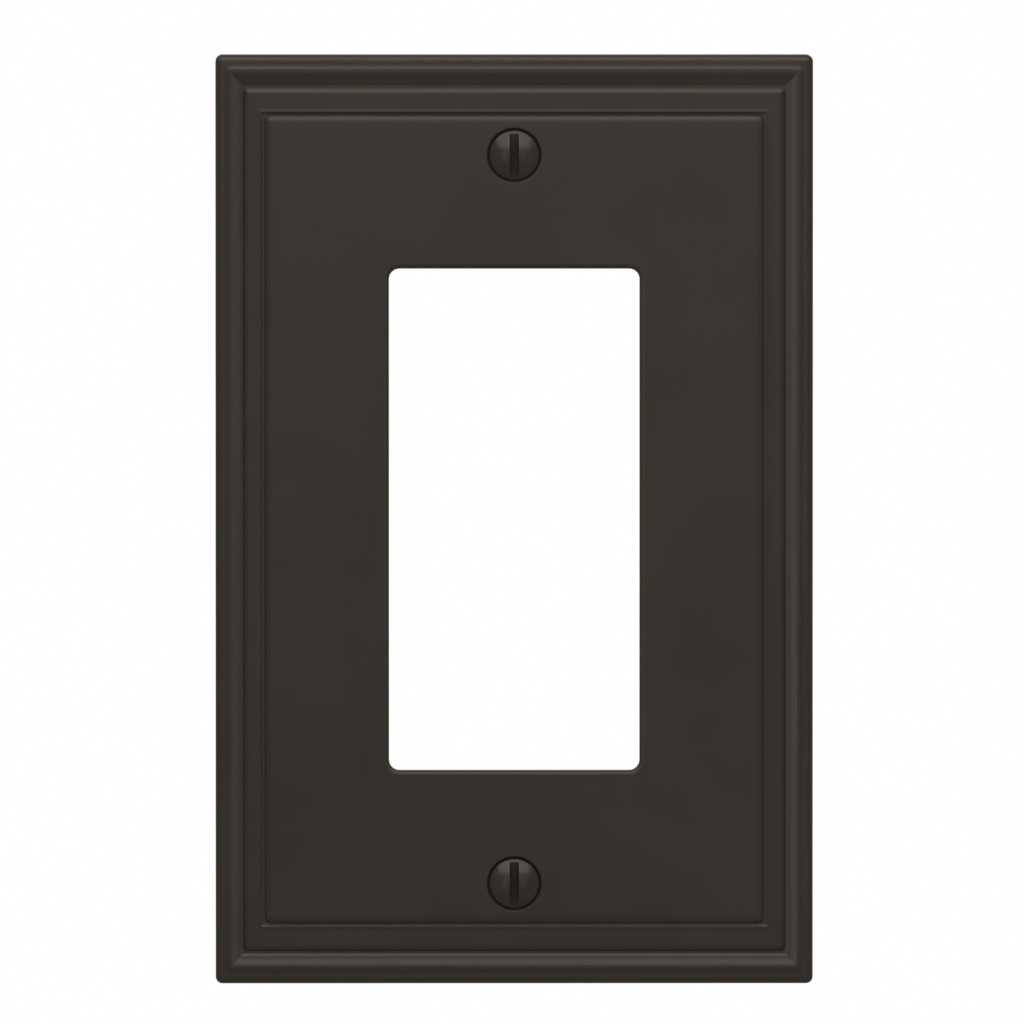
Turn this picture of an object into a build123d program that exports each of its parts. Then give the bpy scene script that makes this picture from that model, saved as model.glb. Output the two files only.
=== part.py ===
import os
from itertools import pairwise
from math import cos, radians, tan

from build123d import *

# One-gang wall plate for a rectangular wiring device, with its two slotted mounting screws.
# Millimetres. +Z is up, the front faces -Y and the wall is the plane Y = 0. The origin is the
# centre of the device opening on the wall plane, midway between the two screws.
# A height is measured out from the wall. An inset is measured in from the plate's outline.

# Standard sizes of a one-gang plate
plate_width = 79.4
plate_height = 123.5
plate_depth = 6.35
opening_width = 33.3
opening_height = 66.7
screw_spacing = 96.84

# Outline and skirt
outline_radius = 0.9
skirt_edge_fillet = 0.85
land_height = 5.85

# Bead: a low raised frame, which rises from the land and falls in a hollow slope to a channel
bead_height = 6.0
bead_side_inset = 1.25
bead_end_inset = 1.45
bead_rise = 0.5
bead_radius = 0.4
bead_crest_fillet = 0.8
bead_slope = [(2.15, bead_height), (2.8, 5.72), (3.27, 5.62), (3.6, 5.46)]
bead_slope_end_shift = 0.4
channel_height = bead_slope[-1][1]

# Terrace inside the bead, further in at the two ends than at the sides
terrace_height = 5.88
terrace_side_inset = 3.68
terrace_end_inset = 4.33
terrace_rise = 0.42
terrace_radius = 0.5
terrace_fillet = 1.05

# Lip along the terrace's inner edge, then the quirk: the fine groove between it and the panel
lip_height = 5.93
lip_side_inset = 5.6
lip_end_inset = 7.1
lip_rise = 0.35
quirk_height = 5.74
quirk_side_inset = 6.05
quirk_end_inset = 7.57
quirk_slope = 0.41

# Central panel, and the opening through it
panel_side_inset = 6.52
panel_end_inset = 8.02
panel_rise = 0.48
panel_radius = 0.9
panel_fillet = 1.4
opening_radius = 1.4
opening_lip_fillet = 0.6

# Hollow back
rim_thickness = 2.3
hollow_height = 4.3
hollow_radius = 1.2
hollow_fillet = 0.8
boss_radius = 4.9
boss_height = 1.1
boss_fillet = 0.5

# Countersunk screw holes
sink_angle = 82
sink_radius = 3.68
hole_radius = 2.1

# Screws: no. 6 with 32 threads to the inch, 3/4 in long, slotted oval head.
# The shank is plain at the thread's outer size, below a neck at its root size.
head_radius = 3.35
head_rim = 0.08
dome_height = 1.2
seat_gap = 0.05
neck_radius = 1.42
neck_end_height = 2.55
thread_radius = 1.74
thread_start = 0.3
tip_chamfer = 0.45
screw_length = 19.05
slot_width = 1.15
slot_depth = 0.86

wall = Plane.XZ
sink_half_angle = radians(sink_angle / 2)
sink_slope = tan(sink_half_angle)
screw_heights = {"upper_screw": screw_spacing / 2, "lower_screw": -screw_spacing / 2}


def at_height(height):
    """Plane parallel to the wall, this far out from it."""
    return wall.offset(height)


def inset(side, end):
    """Width and height of a rectangle inset from the plate's outline."""
    return plate_width - 2 * side, plate_height - 2 * end


def edges_at(part, height):
    """Edges that lie wholly in the plane at this height."""
    return part.edges().filter_by_position(Axis.Y, -height, -height)


with BuildPart() as wall_plate:
    # Skirt, out to the land that runs along the plate's edge
    with BuildSketch(wall):
        RectangleRounded(plate_width, plate_height, outline_radius)
    extrude(amount=land_height)
    fillet(edges_at(wall_plate, land_height), skirt_edge_fillet)

    # The bead's gentle rise from the land
    with BuildSketch(at_height(land_height)):
        RectangleRounded(*inset(bead_side_inset, bead_end_inset), bead_radius + bead_rise)
    with BuildSketch(at_height(bead_height)):
        RectangleRounded(
            *inset(bead_side_inset + bead_rise, bead_end_inset + bead_rise), bead_radius
        )
    loft(ruled=True)

    # The bead's hollow slope down to the channel, steepest at its foot
    for (upper_inset, upper), (lower_inset, lower) in pairwise(bead_slope):
        with BuildSketch(at_height(upper)):
            Rectangle(*inset(upper_inset, upper_inset + bead_slope_end_shift))
        with BuildSketch(at_height(lower)):
            Rectangle(*inset(lower_inset, lower_inset + bead_slope_end_shift))
        loft(ruled=True, mode=Mode.SUBTRACT)
    bead_top = wall_plate.faces().sort_by(Axis.Y)[0]
    fillet(bead_top.inner_wires()[0].edges(), bead_crest_fillet)

    # Terrace, with a broadly rounded edge
    with BuildSketch(at_height(channel_height)):
        RectangleRounded(
            *inset(terrace_side_inset, terrace_end_inset), terrace_radius + terrace_rise
        )
    with BuildSketch(at_height(terrace_height)):
        RectangleRounded(
            *inset(terrace_side_inset + terrace_rise, terrace_end_inset + terrace_rise),
            terrace_radius,
        )
    loft(ruled=True)
    fillet(edges_at(wall_plate, terrace_height), terrace_fillet)

    # Lip
    with BuildSketch(at_height(terrace_height)):
        Rectangle(*inset(lip_side_inset, lip_end_inset))
    with BuildSketch(at_height(lip_height)):
        Rectangle(*inset(lip_side_inset + lip_rise, lip_end_inset + lip_rise))
    loft(ruled=True)

    # Quirk
    with BuildSketch(at_height(lip_height)):
        Rectangle(*inset(quirk_side_inset, quirk_end_inset))
    with BuildSketch(at_height(quirk_height)):
        Rectangle(*inset(quirk_side_inset + quirk_slope, quirk_end_inset + quirk_slope))
    loft(ruled=True, mode=Mode.SUBTRACT)

    # Panel with a broadly rounded edge
    with BuildSketch(at_height(quirk_height)):
        RectangleRounded(*inset(panel_side_inset, panel_end_inset), panel_radius + panel_rise)
    with BuildSketch(at_height(plate_depth)):
        RectangleRounded(
            *inset(panel_side_inset + panel_rise, panel_end_inset + panel_rise), panel_radius
        )
    loft(ruled=True)
    fillet(edges_at(wall_plate, plate_depth), panel_fillet)

    # Hollow back inside a flat rim, with a low boss behind each screw
    with BuildSketch(wall):
        RectangleRounded(*inset(rim_thickness, rim_thickness), hollow_radius)
    extrude(amount=hollow_height, mode=Mode.SUBTRACT)
    fillet(edges_at(wall_plate, hollow_height), hollow_fillet)
    with BuildSketch(at_height(hollow_height)):
        with Locations(*[(0, height) for height in screw_heights.values()]):
            Circle(boss_radius)
    extrude(amount=-boss_height)
    boss_faces = wall_plate.faces().filter_by_position(
        Axis.Y, boss_height - hollow_height, boss_height - hollow_height
    )
    fillet(boss_faces.edges(), boss_fillet)

    # Device opening, with a rounded lip at the front
    with BuildSketch(wall):
        RectangleRounded(opening_width, opening_height, opening_radius)
    extrude(amount=plate_depth, mode=Mode.SUBTRACT)
    panel_face = wall_plate.faces().sort_by(Axis.Y)[0]
    fillet(panel_face.inner_wires()[0].edges(), opening_lip_fillet)

    # Countersunk screw holes
    front = at_height(plate_depth)
    with Locations(*[front * Pos(0, height) for height in screw_heights.values()]):
        CounterSinkHole(hole_radius, sink_radius, counter_sink_angle=sink_angle)


def mounting_screw(height):
    """Slotted oval-head screw in the hole at this height above the origin."""
    seat_radius = sink_radius - seat_gap / cos(sink_half_angle)
    rim_height = plate_depth - (seat_radius - head_radius) / sink_slope
    cone_end = rim_height - (head_radius - neck_radius) / sink_slope
    tip = rim_height - screw_length
    dome_start = rim_height + head_rim
    top = dome_start + dome_height

    # Half section: along the screw's axis, then out from it
    section = Plane(origin=(0, 0, height), x_dir=(0, -1, 0), z_dir=(1, 0, 0))
    with BuildPart() as screw:
        with BuildSketch(section):
            with BuildLine():
                Polyline(
                    (top, 0),
                    (tip, 0),
                    (tip, thread_radius - tip_chamfer),
                    (tip + tip_chamfer, thread_radius),
                    (neck_end_height - thread_start, thread_radius),
                    (neck_end_height, neck_radius),
                    (cone_end, neck_radius),
                    (rim_height, head_radius),
                    (dome_start, head_radius),
                )
                TangentArc((top, 0), (dome_start, head_radius), tangent=(0, 1))
            make_face()
        revolve(axis=Axis((0, 0, height), (0, 1, 0)))

        # Driver slot, cut straight across the dome until it runs out near the rim
        with BuildSketch(at_height(top - slot_depth)):
            with Locations((0, height)):
                Rectangle(slot_width, 2 * head_radius)
        extrude(amount=slot_depth, mode=Mode.SUBTRACT)
    return screw


os.makedirs("parts", exist_ok=True)
wall_plate.part.label = "wall_plate"
export_step(wall_plate.part, "parts/wall_plate.step")
for name, height in screw_heights.items():
    screw = mounting_screw(height)
    screw.part.label = name
    export_step(screw.part, f"parts/{name}.step")
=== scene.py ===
import math

import bmesh
import bpy
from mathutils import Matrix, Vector
from mathutils.geometry import delaunay_2d_cdt


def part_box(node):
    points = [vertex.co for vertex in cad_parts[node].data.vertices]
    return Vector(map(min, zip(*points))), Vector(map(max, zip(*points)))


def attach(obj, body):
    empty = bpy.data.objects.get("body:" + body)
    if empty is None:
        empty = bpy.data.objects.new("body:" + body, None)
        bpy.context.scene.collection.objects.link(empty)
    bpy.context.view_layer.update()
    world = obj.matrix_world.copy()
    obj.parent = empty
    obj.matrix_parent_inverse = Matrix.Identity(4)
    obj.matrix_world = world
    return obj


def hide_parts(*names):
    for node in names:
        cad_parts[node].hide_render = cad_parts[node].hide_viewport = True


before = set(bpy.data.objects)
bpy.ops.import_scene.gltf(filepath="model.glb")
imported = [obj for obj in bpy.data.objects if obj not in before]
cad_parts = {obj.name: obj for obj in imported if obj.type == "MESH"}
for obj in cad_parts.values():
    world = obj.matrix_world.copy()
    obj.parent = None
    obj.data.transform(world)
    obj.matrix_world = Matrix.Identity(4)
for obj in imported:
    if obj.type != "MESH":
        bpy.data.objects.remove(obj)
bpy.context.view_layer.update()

# The object: a one-gang wall plate in a dark bronze finish, with two slotted oval-head screws.
# Metres, in the frame of the CAD model: +Z is up, the front faces -Y and the wall is the plane Y = 0.
# A height is measured out from the wall, so it is -Y. An inset is measured in from the outline.
MM = 0.001

plate_low, plate_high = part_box("wall_plate")
HALF_WIDTH = (plate_high.x - plate_low.x) / 2
HALF_HEIGHT = (plate_high.z - plate_low.z) / 2
PANEL_HEIGHT = -plate_low.y

# ---------------------------------------------------------------- plate: driving dimensions
OUTLINE_RADIUS = 0.9 * MM
TIGHTEST_RADIUS = 0.02 * MM
BACK_CHAMFER = 0.25 * MM
LAND_HEIGHT = 5.85 * MM
BEAD_HEIGHT = 6.0 * MM
BEAD_SLOPE_HEIGHT = 5.72 * MM
BEAD_FOOT_HEIGHT = 5.62 * MM
CHANNEL_HEIGHT = 5.46 * MM
TERRACE_HEIGHT = 5.88 * MM
LIP_HEIGHT = 5.93 * MM
QUIRK_WALL_HEIGHT = 5.79 * MM
QUIRK_HEIGHT = 5.74 * MM
PANEL_STEP_HEIGHT = 5.99 * MM
PANEL_SHOULDER_HEIGHT = 6.2 * MM
PANEL_CROWN = 0.023 * MM

OPENING_HALF_WIDTH = 16.65 * MM
OPENING_HALF_HEIGHT = 33.35 * MM
OPENING_RADIUS = 1.4 * MM
OPENING_FRONT_FILLET = 0.6 * MM
OPENING_BACK_FILLET = 0.15 * MM

RIM_THICKNESS = 2.3 * MM
RIM_FILLET = 0.1 * MM
HOLLOW_HEIGHT = 4.3 * MM
HOLLOW_RADIUS = 1.2 * MM
HOLLOW_DRAFT = 0.05 * MM
HOLLOW_FILLET = 0.8 * MM
HOLLOW_MARGIN = 1.2 * MM
HOLLOW_TIGHTEST_RADIUS = 0.1 * MM
BOSS_RADIUS = 4.9 * MM
BOSS_HEIGHT = 1.1 * MM
BOSS_DRAFT = 0.05 * MM
BOSS_FOOT_FILLET = 0.3 * MM
BOSS_EDGE_FILLET = 0.45 * MM
BOSS_MARGIN = 0.6 * MM
SINK_RADIUS = 3.68 * MM
SINK_HALF_ANGLE = math.radians(41)
HOLE_RADIUS = 2.1 * MM
SINK_FILLET = 0.12 * MM
HOLE_FILLET = 0.1 * MM

# Marks that the mould's ejector pins leave in the back
EJECTOR_RADIUS = 2.2 * MM
EJECTOR_DEPTH = 0.12 * MM
EJECTOR_EDGE = 0.03 * MM
EJECTOR_X = 26 * MM
EJECTOR_Z = (-44 * MM, 0, 44 * MM)

# ---------------------------------------------------------------- screws: driving dimensions
HEAD_RADIUS = 3.35 * MM
HEAD_RIM = 0.08 * MM
DOME_HEIGHT = 1.2 * MM
SLOT_HALF_WIDTH = 0.575 * MM
SLOT_DEPTH = 0.86 * MM
SLOT_EDGE = 0.09 * MM
SLOT_DRAFT = 0.02 * MM
SLOT_CORNER = 0.05 * MM
NECK_RADIUS = 1.42 * MM
NECK_END = 2.5 * MM
THREAD_RADIUS = 1.73 * MM
THREAD_PITCH = 25.4 / 32 * MM
TIP_CHAMFER = 0.45 * MM
# The thread's form over one pitch: a cosine about this mean, cut flat at the root and the crest
THREAD_MEAN = 0.5
THREAD_SWING = 0.62

# ---------------------------------------------------------------- mesh density
CORNER_STEPS = 8
SIDE_STEPS = 42
END_STEPS = 26
CIRCLE_STEPS = 72
FILLET_STEPS = 6
THREAD_STEPS = 8
DOME_STEPS = 16
SLOT_EDGE_STEPS = 4
FLAT_GRID = 3 * MM
BOSS_GRID = 2 * MM
EJECTOR_GRID = 1 * MM
# A narrow flat band beside a rounded edge keeps the flat's shading flat
SUPPORT = 0.05 * MM
MERGE_DISTANCE = 1e-7

# Material slots of the plate and of a screw
FRONT = 0
BACK = 1
SLOT = 1


# ---------------------------------------------------------------- mesh building
def rounded_profile(corners, steps=FILLET_STEPS):
    """Samples of a profile with rounded turns. A corner is (inset, height, turn radius, tag)."""
    samples = []
    for i, (inset, height, radius, tag) in enumerate(corners):
        here = Vector((inset, height))
        if radius == 0:
            samples.append((inset, height, tag))
            continue
        before = (Vector(corners[i - 1][:2]) - here).normalized()
        after = (Vector(corners[i + 1][:2]) - here).normalized()
        opening = before.angle(after)
        reach = radius / math.tan(opening / 2)
        centre = here + (before + after).normalized() * (radius / math.sin(opening / 2))
        start = here + before * reach - centre
        turn = start.angle_signed(here + after * reach - centre)
        for k in range(steps + 1):
            angle = -turn * k / steps
            across = start.x * math.cos(angle) - start.y * math.sin(angle)
            along = start.x * math.sin(angle) + start.y * math.cos(angle)
            samples.append((centre.x + across, centre.y + along, tag))
    return samples


class Shell:
    """A mesh made of closed rings of vertices, joined by bands of quads and flat fills."""

    def __init__(self):
        self.bm = bmesh.new()
        self.wear = self.bm.verts.layers.float.new("wear")

    def vertex(self, x, z, height, wear=0.0):
        vert = self.bm.verts.new((x, -height, z))
        vert[self.wear] = wear
        return vert

    def ring(self, points, wear=0.0):
        """A ring of vertices through these (x, z, height) points."""
        return [self.vertex(x, z, height, wear) for x, z, height in points]

    def face(self, corners, finish):
        made = self.bm.faces.new(corners)
        made.material_index = finish
        made.smooth = True

    def band(self, ring_a, ring_b, finish=0):
        """Quads between two closed rings of the same length."""
        count = len(ring_a)
        for i in range(count):
            j = (i + 1) % count
            self.face((ring_a[i], ring_a[j], ring_b[j], ring_b[i]), finish)

    def loft(self, rings, finish=0):
        for ring_a, ring_b in zip(rings, rings[1:]):
            self.band(ring_a, ring_b, finish)

    def fill(self, outer, holes, finish=0, grid=FLAT_GRID):
        """Flat triangles between an outer ring and any rings of convex holes, all at one height."""
        loops = [outer] + holes
        verts = [v for loop in loops for v in loop]
        flat = [Vector((v.co.x, v.co.z)) for v in verts]
        edges = []
        start = 0
        for loop in loops:
            edges += [(start + i, start + (i + 1) % len(loop)) for i in range(len(loop))]
            start += len(loop)
        height = -verts[0].co.y
        for x, z in inner_points(outer, holes, grid):
            verts.append(self.vertex(x, z, height))
            flat.append(Vector((x, z)))
        _, _, faces, origins, _, _ = delaunay_2d_cdt(flat, edges, [], 2, 1e-7)
        hole_sets = [set(hole) for hole in holes]
        for face in faces:
            corners = [verts[origins[i][0]] for i in face]
            if not any(hole.issuperset(corners) for hole in hole_sets):
                self.face(corners, finish)

    def finish(self, name, materials):
        """The mesh as an object whose flat faces keep flat shading beside their rounded edges."""
        bmesh.ops.remove_doubles(self.bm, verts=self.bm.verts, dist=MERGE_DISTANCE)
        bmesh.ops.recalc_face_normals(self.bm, faces=self.bm.faces)
        mesh = bpy.data.meshes.new(name)
        self.bm.to_mesh(mesh)
        self.bm.free()
        for material in materials:
            mesh.materials.append(material)
        piece = bpy.data.objects.new(name, mesh)
        bpy.context.scene.collection.objects.link(piece)
        piece.modifiers.new("flat_faces_lead", "WEIGHTED_NORMAL")
        return piece


def inner_points(outer, holes, grid):
    """Grid points inside the outer ring and clear of the holes, for even triangles."""
    xs = [v.co.x for v in outer]
    zs = [v.co.z for v in outer]
    margin = grid * 0.4
    blocks = []
    for hole in holes:
        hole_xs = [v.co.x for v in hole]
        hole_zs = [v.co.z for v in hole]
        blocks.append(
            (min(hole_xs) - margin, max(hole_xs) + margin, min(hole_zs) - margin, max(hole_zs) + margin)
        )
    points = []
    across = round((max(xs) - min(xs)) / grid)
    along = round((max(zs) - min(zs)) / grid)
    for i in range(1, across):
        x = min(xs) + (max(xs) - min(xs)) * i / across
        for k in range(1, along):
            z = min(zs) + (max(zs) - min(zs)) * k / along
            if not any(x0 < x < x1 and z0 < z < z1 for x0, x1, z0, z1 in blocks):
                points.append((x, z))
    return points


def rectangle(half_width, half_height, radius, height):
    """(x, z, height) points around a rectangle with rounded corners."""
    corners = ((1, 1, 0), (-1, 1, 90), (-1, -1, 180), (1, -1, 270))
    arcs = []
    for side, end, start in corners:
        arc = []
        for k in range(CORNER_STEPS + 1):
            angle = math.radians(start + 90 * k / CORNER_STEPS)
            x = side * (half_width - radius) + radius * math.cos(angle)
            z = end * (half_height - radius) + radius * math.sin(angle)
            arc.append((x, z))
        arcs.append(arc)
    points = []
    for i, steps in enumerate((END_STEPS, SIDE_STEPS, END_STEPS, SIDE_STEPS)):
        points += arcs[i]
        x0, z0 = arcs[i][-1]
        x1, z1 = arcs[(i + 1) % 4][0]
        for k in range(1, steps):
            points.append((x0 + (x1 - x0) * k / steps, z0 + (z1 - z0) * k / steps))
    return [(x, z, height) for x, z in points]


def circle(centre_x, centre_z, radius, height):
    """(x, z, height) points around a circle."""
    points = []
    for k in range(CIRCLE_STEPS):
        angle = 2 * math.pi * k / CIRCLE_STEPS
        x = centre_x + radius * math.cos(angle)
        points.append((x, centre_z + radius * math.sin(angle), height))
    return points


# ---------------------------------------------------------------- plate
def border_rings(shell):
    """The plate's front mouldings, from the wall out to the panel's flat, as rings."""
    edge = OUTLINE_RADIUS
    # Inset at the sides, height, turn radius, (further inset at the ends, plan radius, wear)
    corners = [
        # Skirt, from the wall out to the land
        (BACK_CHAMFER, 0, 0, (0, edge - BACK_CHAMFER, 0.3)),
        (0, BACK_CHAMFER, 0.2 * MM, (0, edge, 0.3)),
        (0, LAND_HEIGHT, 0.85 * MM, (0, edge, 1.0)),
        # Bead: the gentle rise, the crest, the hollow slope, and the steep foot to the channel
        (1.25 * MM, LAND_HEIGHT, 1.7 * MM, (0.2 * MM, 0.9 * MM, 0)),
        (1.75 * MM, BEAD_HEIGHT, 1.0 * MM, (0.17 * MM, 0.4 * MM, 0.3)),
        (2.15 * MM, BEAD_HEIGHT, 1.15 * MM, (0.34 * MM, 0.3 * MM, 0.3)),
        (2.8 * MM, BEAD_SLOPE_HEIGHT, 2.2 * MM, (0.4 * MM, 0.1 * MM, 0)),
        (3.27 * MM, BEAD_FOOT_HEIGHT, 0.15 * MM, (0.4 * MM, 0.05 * MM, 0.2)),
        (3.6 * MM, CHANNEL_HEIGHT, 0.05 * MM, (0.4 * MM, 0.05 * MM, 0)),
        # Terrace and its lip
        (3.68 * MM, CHANNEL_HEIGHT, 0.05 * MM, (0.65 * MM, 0.7 * MM, 0)),
        (4.1 * MM, TERRACE_HEIGHT, 1.05 * MM, (0.65 * MM, 0.28 * MM, 0.3)),
        (5.55 * MM, TERRACE_HEIGHT, 0.8 * MM, (1.62 * MM, 0.2 * MM, 0)),
        (5.9 * MM, LIP_HEIGHT, 0.25 * MM, (1.6 * MM, 0.2 * MM, 0.3)),
        (6.0 * MM, LIP_HEIGHT, 0.12 * MM, (1.6 * MM, 0.1 * MM, 0.3)),
        # Quirk: the fine groove between the lip and the panel
        (6.21 * MM, QUIRK_WALL_HEIGHT, 0.1 * MM, (1.58 * MM, 0.1 * MM, 0)),
        (6.53 * MM, QUIRK_HEIGHT, 0.05 * MM, (1.46 * MM, 0.1 * MM, 0)),
        # Panel: a small step, the shoulder, and a low crown up to the flat
        (6.58 * MM, QUIRK_HEIGHT, 0.03 * MM, (1.46 * MM, 0.92 * MM, 0)),
        (6.63 * MM, PANEL_STEP_HEIGHT, 0.03 * MM, (1.46 * MM, 0.87 * MM, 0.3)),
        (6.82 * MM, PANEL_SHOULDER_HEIGHT, 0.8 * MM, (1.46 * MM, 0.68 * MM, 0.3)),
        (7.33 * MM, PANEL_HEIGHT - PANEL_CROWN, 2.3 * MM, (1.45 * MM, 0.17 * MM, 0)),
        (7.97 * MM, PANEL_HEIGHT, 0, (1.42 * MM, 0.1 * MM, 0)),
    ]
    # The plan radius holds at the corner's own inset, and shrinks as the profile runs inwards
    profile = [(inset, height, turn, (inset, *tag)) for inset, height, turn, tag in corners]
    rings = []
    for inset, height, (corner_inset, extra, plan_radius, wear) in rounded_profile(profile):
        radius = max(plan_radius - (inset - corner_inset), TIGHTEST_RADIUS)
        points = rectangle(HALF_WIDTH - inset, HALF_HEIGHT - inset - extra, radius, height)
        rings.append(shell.ring(points, wear))
    return rings


def opening_rings(shell, back_height):
    """The device opening's wall, from the panel's flat over the lip to the back."""
    corners = [
        (-(OPENING_FRONT_FILLET + SUPPORT), PANEL_HEIGHT, 0, 0.0),
        (0, PANEL_HEIGHT, OPENING_FRONT_FILLET, 0.8),
        (0, back_height, OPENING_BACK_FILLET, 0.3),
        (-(OPENING_BACK_FILLET + SUPPORT), back_height, 0, 0.0),
    ]
    rings = []
    for inset, height, wear in rounded_profile(corners):
        half_width = OPENING_HALF_WIDTH - inset
        half_height = OPENING_HALF_HEIGHT - inset
        rings.append(
            shell.ring(rectangle(half_width, half_height, OPENING_RADIUS - inset, height), wear)
        )
    return rings


def round_rings(shell, centre_x, centre_z, corners, steps=FILLET_STEPS):
    """Rings about one centre. A corner is (radius, height, turn radius, wear)."""
    return [
        shell.ring(circle(centre_x, centre_z, radius, height), wear)
        for radius, height, wear in rounded_profile(corners, steps)
    ]


def screw_hole(shell, centre_z, boss_face):
    """A countersunk hole, and the boss behind it. Returns its front ring and its back ring."""
    sink_end = PANEL_HEIGHT - (SINK_RADIUS - HOLE_RADIUS) / math.tan(SINK_HALF_ANGLE)
    hole = round_rings(
        shell,
        0,
        centre_z,
        [
            (SINK_RADIUS + 4 * SUPPORT, PANEL_HEIGHT, 0, 0),
            (SINK_RADIUS, PANEL_HEIGHT, SINK_FILLET, 0.3),
            (HOLE_RADIUS, sink_end, HOLE_FILLET, 0),
            (HOLE_RADIUS, boss_face, HOLE_FILLET, 0),
            (HOLE_RADIUS + 4 * SUPPORT, boss_face, 0, 0),
        ],
    )
    shell.loft(hole, FRONT)
    boss = round_rings(
        shell,
        0,
        centre_z,
        [
            (BOSS_RADIUS + BOSS_MARGIN, HOLLOW_HEIGHT, 0, 0),
            (BOSS_RADIUS, HOLLOW_HEIGHT, BOSS_FOOT_FILLET, 0),
            (BOSS_RADIUS - BOSS_DRAFT, boss_face, BOSS_EDGE_FILLET, 0),
            (BOSS_RADIUS - BOSS_DRAFT - BOSS_MARGIN, boss_face, 0, 0),
        ],
    )
    shell.loft(boss, BACK)
    shell.fill(boss[-1], [hole[-1]], BACK, BOSS_GRID)
    return hole[0], boss[0]


def ejector_mark(shell, centre_x, centre_z):
    """A shallow round recess in the back. Returns its outer ring."""
    floor_height = HOLLOW_HEIGHT + EJECTOR_DEPTH
    mark = round_rings(
        shell,
        centre_x,
        centre_z,
        [
            (EJECTOR_RADIUS + 2 * SUPPORT, HOLLOW_HEIGHT, 0, 0),
            (EJECTOR_RADIUS, HOLLOW_HEIGHT, EJECTOR_EDGE, 0),
            (EJECTOR_RADIUS - EJECTOR_EDGE, floor_height, EJECTOR_EDGE, 0),
            (EJECTOR_RADIUS - 3 * SUPPORT, floor_height, 0, 0),
        ],
        steps=3,
    )
    shell.loft(mark, BACK)
    shell.fill(mark[-1], [], BACK, EJECTOR_GRID)
    return mark[0]


def hollow_rings(shell, outer):
    """The back: the flat rim, then the hollow's walls up to the deck behind the panel."""
    corners = [
        (BACK_CHAMFER, 0, 0, 0),
        (RIM_THICKNESS, 0, RIM_FILLET, 0),
        (RIM_THICKNESS + HOLLOW_DRAFT, HOLLOW_HEIGHT, HOLLOW_FILLET, 0),
        (RIM_THICKNESS + HOLLOW_MARGIN, HOLLOW_HEIGHT, 0, 0),
    ]
    rings = [outer]
    for inset, height, _ in rounded_profile(corners)[1:]:
        radius = max(HOLLOW_RADIUS - (inset - RIM_THICKNESS), HOLLOW_TIGHTEST_RADIUS)
        rings.append(shell.ring(rectangle(HALF_WIDTH - inset, HALF_HEIGHT - inset, radius, height)))
    return rings


def make_plate(materials, screw_heights):
    """The casting: a closed shell with the border, the opening, the screw holes and the back."""
    shell = Shell()
    border = border_rings(shell)
    opening = opening_rings(shell, HOLLOW_HEIGHT)
    hollow = hollow_rings(shell, border[0])
    shell.loft(border, FRONT)
    shell.loft(opening, FRONT)
    shell.loft(hollow, BACK)

    front_holes = [opening[0]]
    back_holes = [opening[-1]]
    for centre_z in screw_heights:
        hole, boss = screw_hole(shell, centre_z, HOLLOW_HEIGHT - BOSS_HEIGHT)
        front_holes.append(hole)
        back_holes.append(boss)
    for centre_z in EJECTOR_Z:
        for centre_x in (-EJECTOR_X, EJECTOR_X):
            back_holes.append(ejector_mark(shell, centre_x, centre_z))
    shell.fill(border[-1], front_holes, FRONT)
    shell.fill(hollow[-1], back_holes, BACK)
    return shell.finish("plate_casting", materials)


# ---------------------------------------------------------------- screws
def slot_columns():
    """(x, drop) of the head's columns for x >= 0: how far each lies below the dome at its x.
    The columns of the slot's floor have an endless drop, and the floor stops them."""
    columns = [(x * SLOT_HALF_WIDTH, math.inf) for x in (0, 0.3, 0.6)]
    foot = SLOT_HALF_WIDTH - SLOT_DRAFT
    columns += [(foot - SLOT_CORNER, math.inf), (foot, math.inf)]
    for k in range(SLOT_EDGE_STEPS + 1):
        angle = math.radians(90 * k / SLOT_EDGE_STEPS)
        x = SLOT_HALF_WIDTH + SLOT_EDGE * (1 - math.cos(angle))
        columns.append((x, SLOT_EDGE * (1 - math.sin(angle))))
    start = math.asin((SLOT_HALF_WIDTH + SLOT_EDGE) / HEAD_RADIUS)
    for k in range(1, DOME_STEPS + 1):
        angle = start + (math.pi / 2 - start) * k / DOME_STEPS
        columns.append((HEAD_RADIUS * math.sin(angle), 0))
    return columns


def head_top(shell, centre_z, top):
    """The domed and slotted top of a screw's head. Returns the ring along its rim."""
    dome_radius = (HEAD_RADIUS**2 + DOME_HEIGHT**2) / (2 * DOME_HEIGHT)
    floor_height = top - SLOT_DEPTH
    runout = math.sqrt(dome_radius**2 - (dome_radius - SLOT_DEPTH) ** 2) / HEAD_RADIUS
    # Rows along the slot, as parts of the head's half length: its run, and four more at each end
    rows = [-1, -0.97, -0.93, -0.89]
    rows += [runout * math.sin(math.radians(angle)) for angle in range(-90, 91, 9)]
    rows += [0.89, 0.93, 0.97, 1]

    half = slot_columns()
    grid = []
    for x, drop in [(-x, drop) for x, drop in half[:0:-1]] + half:
        column = []
        for row in rows:
            z = row * math.sqrt(max(HEAD_RADIUS**2 - x**2, 0))
            dome = top - dome_radius + math.sqrt(dome_radius**2 - x**2 - z**2)
            height = max(min(dome, floor_height), dome - drop)
            wear = 0.8 if 0 < drop < math.inf and height > floor_height else 0.0
            column.append(shell.vertex(x, centre_z + z, height, wear))
        grid.append(column)
    for left, right in zip(grid, grid[1:]):
        for k in range(len(rows) - 1):
            corners = (left[k], right[k], right[k + 1], left[k + 1])
            # Faces in the slot take the second material, painted shade for the shadow inside the slot
            in_slot = min(-v.co.y for v in corners) < floor_height + SLOT_CORNER
            over_slot = max(abs(v.co.x) for v in corners) <= SLOT_HALF_WIDTH
            inside_runout = max(abs(rows[k]), abs(rows[k + 1])) <= runout
            shell.face(corners, SLOT if in_slot and over_slot and inside_runout else FRONT)
    lower_edge = [column[0] for column in grid]
    upper_edge = [column[-1] for column in grid[-2:0:-1]]
    return lower_edge + upper_edge


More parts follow.
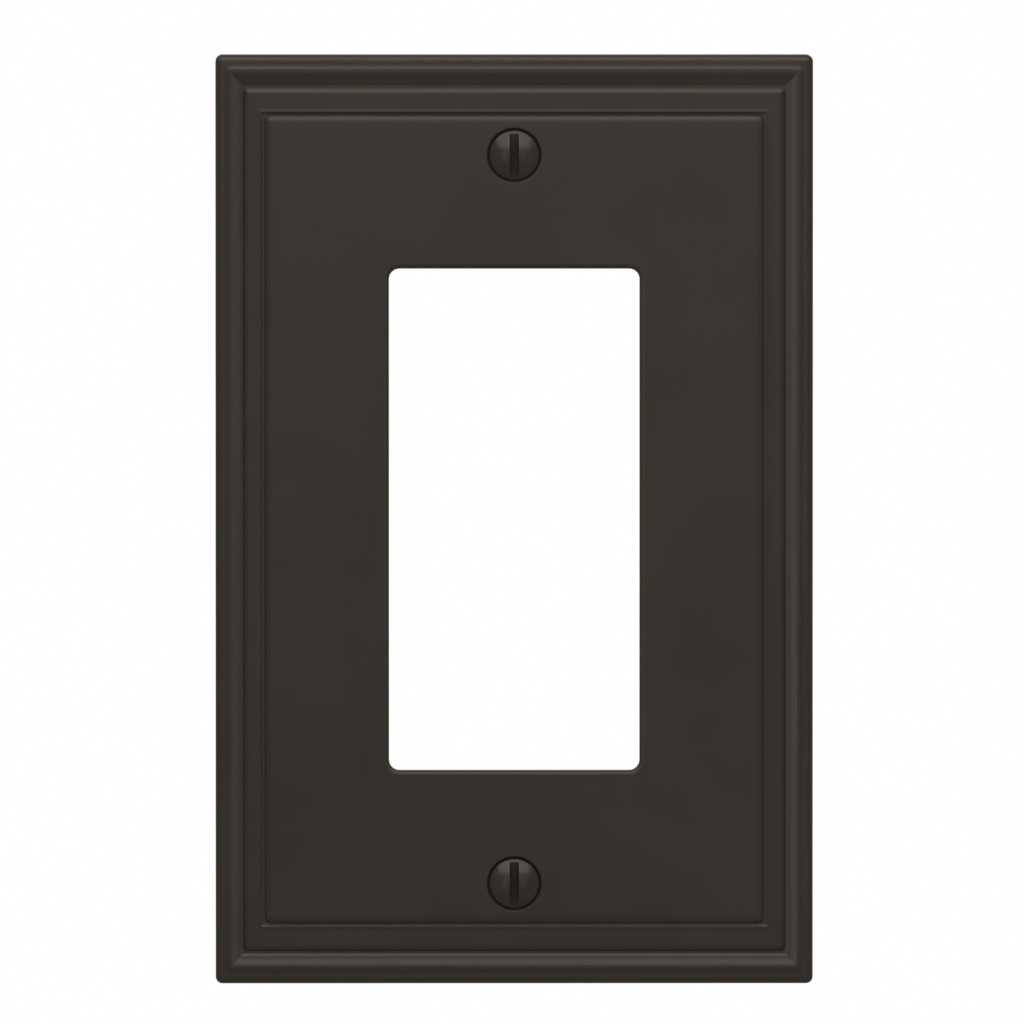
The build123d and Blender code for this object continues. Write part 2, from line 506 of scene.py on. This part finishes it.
def thread_rows(shell, centre_z, angles, thread_end, tip):
    """A right-handed thread from the tip to its end, as rows of vertices that follow the helix."""
    pitches = math.ceil((thread_end - tip) / THREAD_PITCH) + 1
    rows = []
    for k in range(-THREAD_STEPS, pitches * THREAD_STEPS + 1):
        form = THREAD_MEAN - THREAD_SWING * math.cos(2 * math.pi * k / THREAD_STEPS)
        form = min(max(form, 0), 1)
        row = []
        for angle in angles:
            height = tip + THREAD_PITCH * (k / THREAD_STEPS + angle / (2 * math.pi))
            height = min(max(height, tip), thread_end)
            fade = min((thread_end - height) / THREAD_PITCH, 1)
            radius = NECK_RADIUS + (THREAD_RADIUS - NECK_RADIUS) * form * fade
            radius = min(radius, THREAD_RADIUS - TIP_CHAMFER + height - tip)
            row.append(
                shell.vertex(radius * math.cos(angle), centre_z + radius * math.sin(angle), height)
            )
        rows.append(row)
    return rows


def make_screw(node, materials):
    """A slotted oval-head machine screw in the place of this CAD node."""
    low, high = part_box(node)
    centre_z = (low.z + high.z) / 2
    top, tip = -low.y, -high.y
    shell = Shell()
    rim = head_top(shell, centre_z, top)
    angles = [math.atan2(v.co.z - centre_z, v.co.x) % (2 * math.pi) for v in rim]

    # Under the head: the rim, the cone that seats in the countersink, and the neck
    rim_height = top - DOME_HEIGHT - HEAD_RIM
    cone_end = rim_height - (HEAD_RADIUS - NECK_RADIUS) / math.tan(SINK_HALF_ANGLE)
    rings = [rim]
    for radius, height in (
        (HEAD_RADIUS, rim_height),
        (NECK_RADIUS, cone_end),
        (NECK_RADIUS, NECK_END),
    ):
        rings.append(
            shell.ring(
                (radius * math.cos(angle), centre_z + radius * math.sin(angle), height)
                for angle in angles
            )
        )
    shell.loft(rings, FRONT)

    # Thread: each row runs on into the row one turn above it
    angles.sort()
    rows = thread_rows(shell, centre_z, angles, NECK_END, tip)
    last = len(angles) - 1
    for k in range(len(rows) - THREAD_STEPS - 1):
        for j in range(last):
            shell.face((rows[k][j], rows[k][j + 1], rows[k + 1][j + 1], rows[k + 1][j]), FRONT)
        turn = k + THREAD_STEPS
        shell.face((rows[k][last], rows[turn][0], rows[turn + 1][0], rows[k + 1][last]), FRONT)
    centre = shell.vertex(0, centre_z, tip)
    for j in range(len(angles)):
        shell.face((centre, rows[0][j], rows[0][(j + 1) % len(angles)]), FRONT)
    return shell.finish(node.replace("_screw", "_oval_head_screw"), materials)


# ---------------------------------------------------------------- materials
class Finish:
    """A procedural material: one Principled shader, and short calls for the nodes that feed it."""

    def __init__(self, name):
        self.material = bpy.data.materials.new(name)
        self.material.use_nodes = True
        self.tree = self.material.node_tree
        self.shader = self.tree.nodes["Principled BSDF"]
        self.place = self.tree.nodes.new("ShaderNodeTexCoord").outputs["Object"]

    def link(self, value, socket):
        self.tree.links.new(value, self.shader.inputs[socket])

    def set(self, socket, value):
        self.shader.inputs[socket].default_value = value

    def noise(self, size, detail=2.0, stretch=(1, 1, 1)):
        """Noise with features about this size in metres, drawn out along the axes of the stretch."""
        mapping = self.tree.nodes.new("ShaderNodeMapping")
        mapping.inputs["Scale"].default_value = [1 / (size * factor) for factor in stretch]
        noise = self.tree.nodes.new("ShaderNodeTexNoise")
        noise.inputs["Scale"].default_value = 1.0
        noise.inputs["Detail"].default_value = detail
        self.tree.links.new(self.place, mapping.inputs["Vector"])
        self.tree.links.new(mapping.outputs["Vector"], noise.inputs["Vector"])
        return noise.outputs["Fac"]

    def attribute(self, name):
        node = self.tree.nodes.new("ShaderNodeAttribute")
        node.attribute_name = name
        return node.outputs["Fac"]

    def span(self, value, low, high, result_low=0.0, result_high=1.0):
        """The value's range from low to high, mapped smoothly to another range."""
        node = self.tree.nodes.new("ShaderNodeMapRange")
        node.interpolation_type = "SMOOTHSTEP"
        for socket, number in zip(node.inputs[1:5], (low, high, result_low, result_high)):
            socket.default_value = number
        self.tree.links.new(value, node.inputs["Value"])
        return node.outputs["Result"]

    def math(self, operation, a, b):
        node = self.tree.nodes.new("ShaderNodeMath")
        node.operation = operation
        for socket, value in zip(node.inputs, (a, b)):
            if isinstance(value, (int, float)):
                socket.default_value = value
            else:
                self.tree.links.new(value, socket)
        return node.outputs["Value"]

    def mix(self, factor, a, b):
        """A colour between a and b, each a colour or an output."""
        node = self.tree.nodes.new("ShaderNodeMix")
        node.data_type = "RGBA"
        self.tree.links.new(factor, node.inputs["Factor"])
        colours = [socket for socket in node.inputs if socket.type == "RGBA"]
        for socket, value in zip(colours, (a, b)):
            if isinstance(value, tuple):
                socket.default_value = (*value, 1)
            else:
                self.tree.links.new(value, socket)
        return next(output for output in node.outputs if output.type == "RGBA")

    def bump(self, height, distance, normal=None):
        node = self.tree.nodes.new("ShaderNodeBump")
        node.inputs["Strength"].default_value = 1.0
        node.inputs["Distance"].default_value = distance
        self.tree.links.new(height, node.inputs["Height"])
        if normal:
            self.tree.links.new(normal, node.inputs["Normal"])
        return node.outputs["Normal"]


BRONZE_DARK = (0.0180, 0.0151, 0.0112)
BRONZE_LIGHT = (0.0205, 0.0173, 0.0130)
BRONZE_RUBBED = (0.0225, 0.0130, 0.0050)
BACK_THICK = (0.021, 0.018, 0.0145)
BACK_THIN = (0.042, 0.038, 0.033)
BACK_SPECK = (0.075, 0.070, 0.063)
# Painted shade: the near-black colours of a screw's slot, in place of the shadow inside it
SLOT_SHADE_DARK = (0.0055, 0.0044, 0.0030)
SLOT_SHADE_LIGHT = (0.0095, 0.0080, 0.0058)
PAPER_DARK = (0.80, 0.80, 0.79)
PAPER_LIGHT = (0.86, 0.86, 0.85)
SHEEN_TINT = (1.0, 0.945, 0.855, 1)
FINISH_IOR = 1.5
# A lower IOR dims the slot's reflection, as part of the slot's painted shade
SLOT_SHADE_IOR = 1.4


def satin_bronze():
    """The plate's front: dark satin bronze, finely brushed up and down, browner on its edges."""
    finish = Finish("satin_bronze")
    cloud = finish.noise(14 * MM, 4)
    speck = finish.noise(0.35 * MM, 3)
    brushing = finish.noise(0.12 * MM, 2, (1, 1, 60))
    patches = finish.noise(2.2 * MM, 3)

    base = finish.mix(finish.span(cloud, 0.35, 0.65), BRONZE_DARK, BRONZE_LIGHT)
    rub = finish.math("MULTIPLY", finish.attribute("wear"), finish.span(patches, 0.35, 0.7, 0.4, 1.0))
    finish.link(finish.mix(rub, base, BRONZE_RUBBED), "Base Color")

    rough = finish.math(
        "ADD", finish.span(cloud, 0.3, 0.7, 0.34, 0.39), finish.span(brushing, 0.3, 0.7, 0.0, 0.05)
    )
    finish.link(rough, "Roughness")
    grain = finish.bump(speck, 0.0025 * MM)
    finish.link(finish.bump(brushing, 0.0008 * MM, grain), "Normal")
    finish.set("IOR", FINISH_IOR)
    finish.set("Specular Tint", SHEEN_TINT)
    return finish.material


def cast_back():
    """The plate's back: the same paint, thin and matt over the rough skin of the casting."""
    finish = Finish("cast_back")
    cloud = finish.noise(9 * MM, 4)
    skin = finish.noise(0.6 * MM, 4)
    pits = finish.noise(1.6 * MM, 2)

    paint = finish.mix(finish.span(cloud, 0.4, 0.62), BACK_THICK, BACK_THIN)
    speckled = finish.mix(finish.span(skin, 0.58, 0.72, 0, 0.6), paint, BACK_SPECK)
    finish.link(speckled, "Base Color")
    finish.link(finish.span(cloud, 0.3, 0.7, 0.52, 0.68), "Roughness")
    coarse = finish.bump(pits, 0.02 * MM)
    finish.link(finish.bump(skin, 0.012 * MM, coarse), "Normal")
    finish.set("IOR", FINISH_IOR)
    return finish.material


def screw_bronze():
    """The screws: the plate's colour, glossier, with bare metal where a driver rubs the slot."""
    finish = Finish("screw_bronze")
    cloud = finish.noise(1.3 * MM, 4)
    turned = finish.noise(0.08 * MM, 2)

    base = finish.mix(finish.span(cloud, 0.35, 0.65), BRONZE_DARK, BRONZE_LIGHT)
    rub = finish.math("MULTIPLY", finish.attribute("wear"), finish.span(cloud, 0.4, 0.65, 0.1, 0.7))
    finish.link(finish.mix(rub, base, BRONZE_RUBBED), "Base Color")
    finish.link(finish.span(cloud, 0.3, 0.7, 0.22, 0.32), "Roughness")
    finish.link(finish.bump(turned, 0.0012 * MM), "Normal")
    finish.set("IOR", FINISH_IOR)
    finish.set("Specular Tint", SHEEN_TINT)
    return finish.material


def slot_shadow():
    """The slot's walls and floor: a dull, dark painted shade that stands in for the shadow inside the
    slot.
    """
    finish = Finish("slot_shadow")
    cloud = finish.noise(0.5 * MM, 3, (1, 1, 5))
    # Painted shade: the slot is coloured near black where its shadow falls
    base = finish.mix(finish.span(cloud, 0.35, 0.65), SLOT_SHADE_DARK, SLOT_SHADE_LIGHT)
    finish.link(base, "Base Color")
    finish.link(finish.span(cloud, 0.3, 0.7, 0.6, 0.8), "Roughness")
    finish.link(finish.bump(cloud, 0.01 * MM), "Normal")
    finish.set("IOR", SLOT_SHADE_IOR)
    finish.set("Specular Tint", SHEEN_TINT)
    return finish.material


def floor_paper():
    """The floor: pale, matt paper."""
    finish = Finish("floor_paper")
    fibre = finish.noise(0.8 * MM, 3)
    finish.link(finish.mix(fibre, PAPER_DARK, PAPER_LIGHT), "Base Color")
    finish.set("Roughness", 0.9)
    return finish.material


# ---------------------------------------------------------------- the object
SCREWS = ("upper_screw", "lower_screw")
screw_heights = [(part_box(node)[0].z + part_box(node)[1].z) / 2 for node in SCREWS]

plate = make_plate([satin_bronze(), cast_back()], screw_heights)
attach(plate, "plate")
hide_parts("wall_plate")

screw_finish = [screw_bronze(), slot_shadow()]
for node in SCREWS:
    screw = make_screw(node, screw_finish)
    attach(screw, node)
    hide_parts(node)

# ---------------------------------------------------------------- stage and lights
scene = bpy.context.scene
scene.view_settings.view_transform = "Standard"

FLOOR_DROP = 60 * MM
FLOOR_HALF_SIZE = 0.6
ROOM_BRIGHTNESS = 0.39


def make_floor():
    """A plain floor below the plate. It neither lights the object nor shows in its gloss."""
    bm = bmesh.new()
    bmesh.ops.create_grid(bm, x_segments=1, y_segments=1, size=FLOOR_HALF_SIZE)
    mesh = bpy.data.meshes.new("floor")
    bm.to_mesh(mesh)
    bm.free()
    mesh.materials.append(floor_paper())
    floor = bpy.data.objects.new("floor", mesh)
    floor.location.z = plate_low.z - FLOOR_DROP
    floor.visible_diffuse = False
    floor.visible_glossy = False
    scene.collection.objects.link(floor)


def softbox(name, place, size, brightness, target=(0, 0, 0), spread=180):
    """A rectangular light at this place, facing the target, unseen by the camera.
    The brightness is the same for any size, and the spread is in degrees."""
    data = bpy.data.lights.new(name, "AREA")
    data.shape = "RECTANGLE"
    data.size, data.size_y = size
    data.energy = brightness * math.pi * size[0] * size[1]
    data.spread = math.radians(spread)
    light = bpy.data.objects.new(name, data)
    light.location = place
    light.rotation_mode = "QUATERNION"
    light.rotation_quaternion = (Vector(target) - Vector(place)).to_track_quat("-Z", "Y")
    light.visible_camera = False
    scene.collection.objects.link(light)


def white_room(dimmed):
    """A white background that lights the object with only this part of its brightness."""
    world = bpy.data.worlds.new("studio")
    world.use_nodes = True
    scene.world = world
    nodes, links = world.node_tree.nodes, world.node_tree.links
    background = nodes["Background"]
    background.inputs["Color"].default_value = (1, 1, 1, 1)
    ray = nodes.new("ShaderNodeLightPath")
    strength = nodes.new("ShaderNodeMix")
    strength.inputs["A"].default_value = dimmed
    strength.inputs["B"].default_value = 1.0
    links.new(ray.outputs["Is Camera Ray"], strength.inputs["Factor"])
    links.new(strength.outputs["Result"], background.inputs["Strength"])


def make_lights():
    """Soft light from the front and above. Two narrow strips near the plate light only the far
    half each, so that they catch the slopes that face inwards and miss the outer edges."""
    strip = (0.035, 0.2)
    strip_spread = 60
    softbox("front", place=(0, -0.5, 0.25), size=(0.34, 0.5), brightness=0.47)
    softbox("overhead", place=(0, -0.36, 0.5), size=(1.2, 0.62), brightness=1.4)
    softbox("from_left", (-0.05, -0.12, 0), strip, 0.36, (0.093, 0, 0), strip_spread)
    softbox("from_right", (0.05, -0.12, 0), strip, 0.2, (-0.093, 0, 0), strip_spread)
    softbox("behind", place=(0, 0.9, 0.5), size=(0.9, 0.6), brightness=0.3)


make_floor()
white_room(ROOM_BRIGHTNESS)
make_lights()

# ---------------------------------------------------------------- camera
# It looks slightly down at the plate from far away
CAMERA_DISTANCE = 3.0
CAMERA_AZIMUTH = math.radians(-0.3)
CAMERA_ELEVATION = math.radians(2.0)
FRAME_WIDTH = 136.35 * MM
AIM = Vector((-0.27 * MM, 0, 0.8 * MM))


def make_camera():
    """A long lens that frames this width at the plate's distance."""
    data = bpy.data.cameras.new("camera")
    data.lens = data.sensor_width * CAMERA_DISTANCE / FRAME_WIDTH
    camera = bpy.data.objects.new("camera", data)
    back = Vector(
        (
            math.sin(CAMERA_AZIMUTH) * math.cos(CAMERA_ELEVATION),
            -math.cos(CAMERA_AZIMUTH) * math.cos(CAMERA_ELEVATION),
            math.sin(CAMERA_ELEVATION),
        )
    )
    camera.location = AIM + back * CAMERA_DISTANCE
    camera.rotation_mode = "QUATERNION"
    camera.rotation_quaternion = (-back).to_track_quat("-Z", "Y")
    scene.collection.objects.link(camera)
    scene.camera = camera


make_camera()
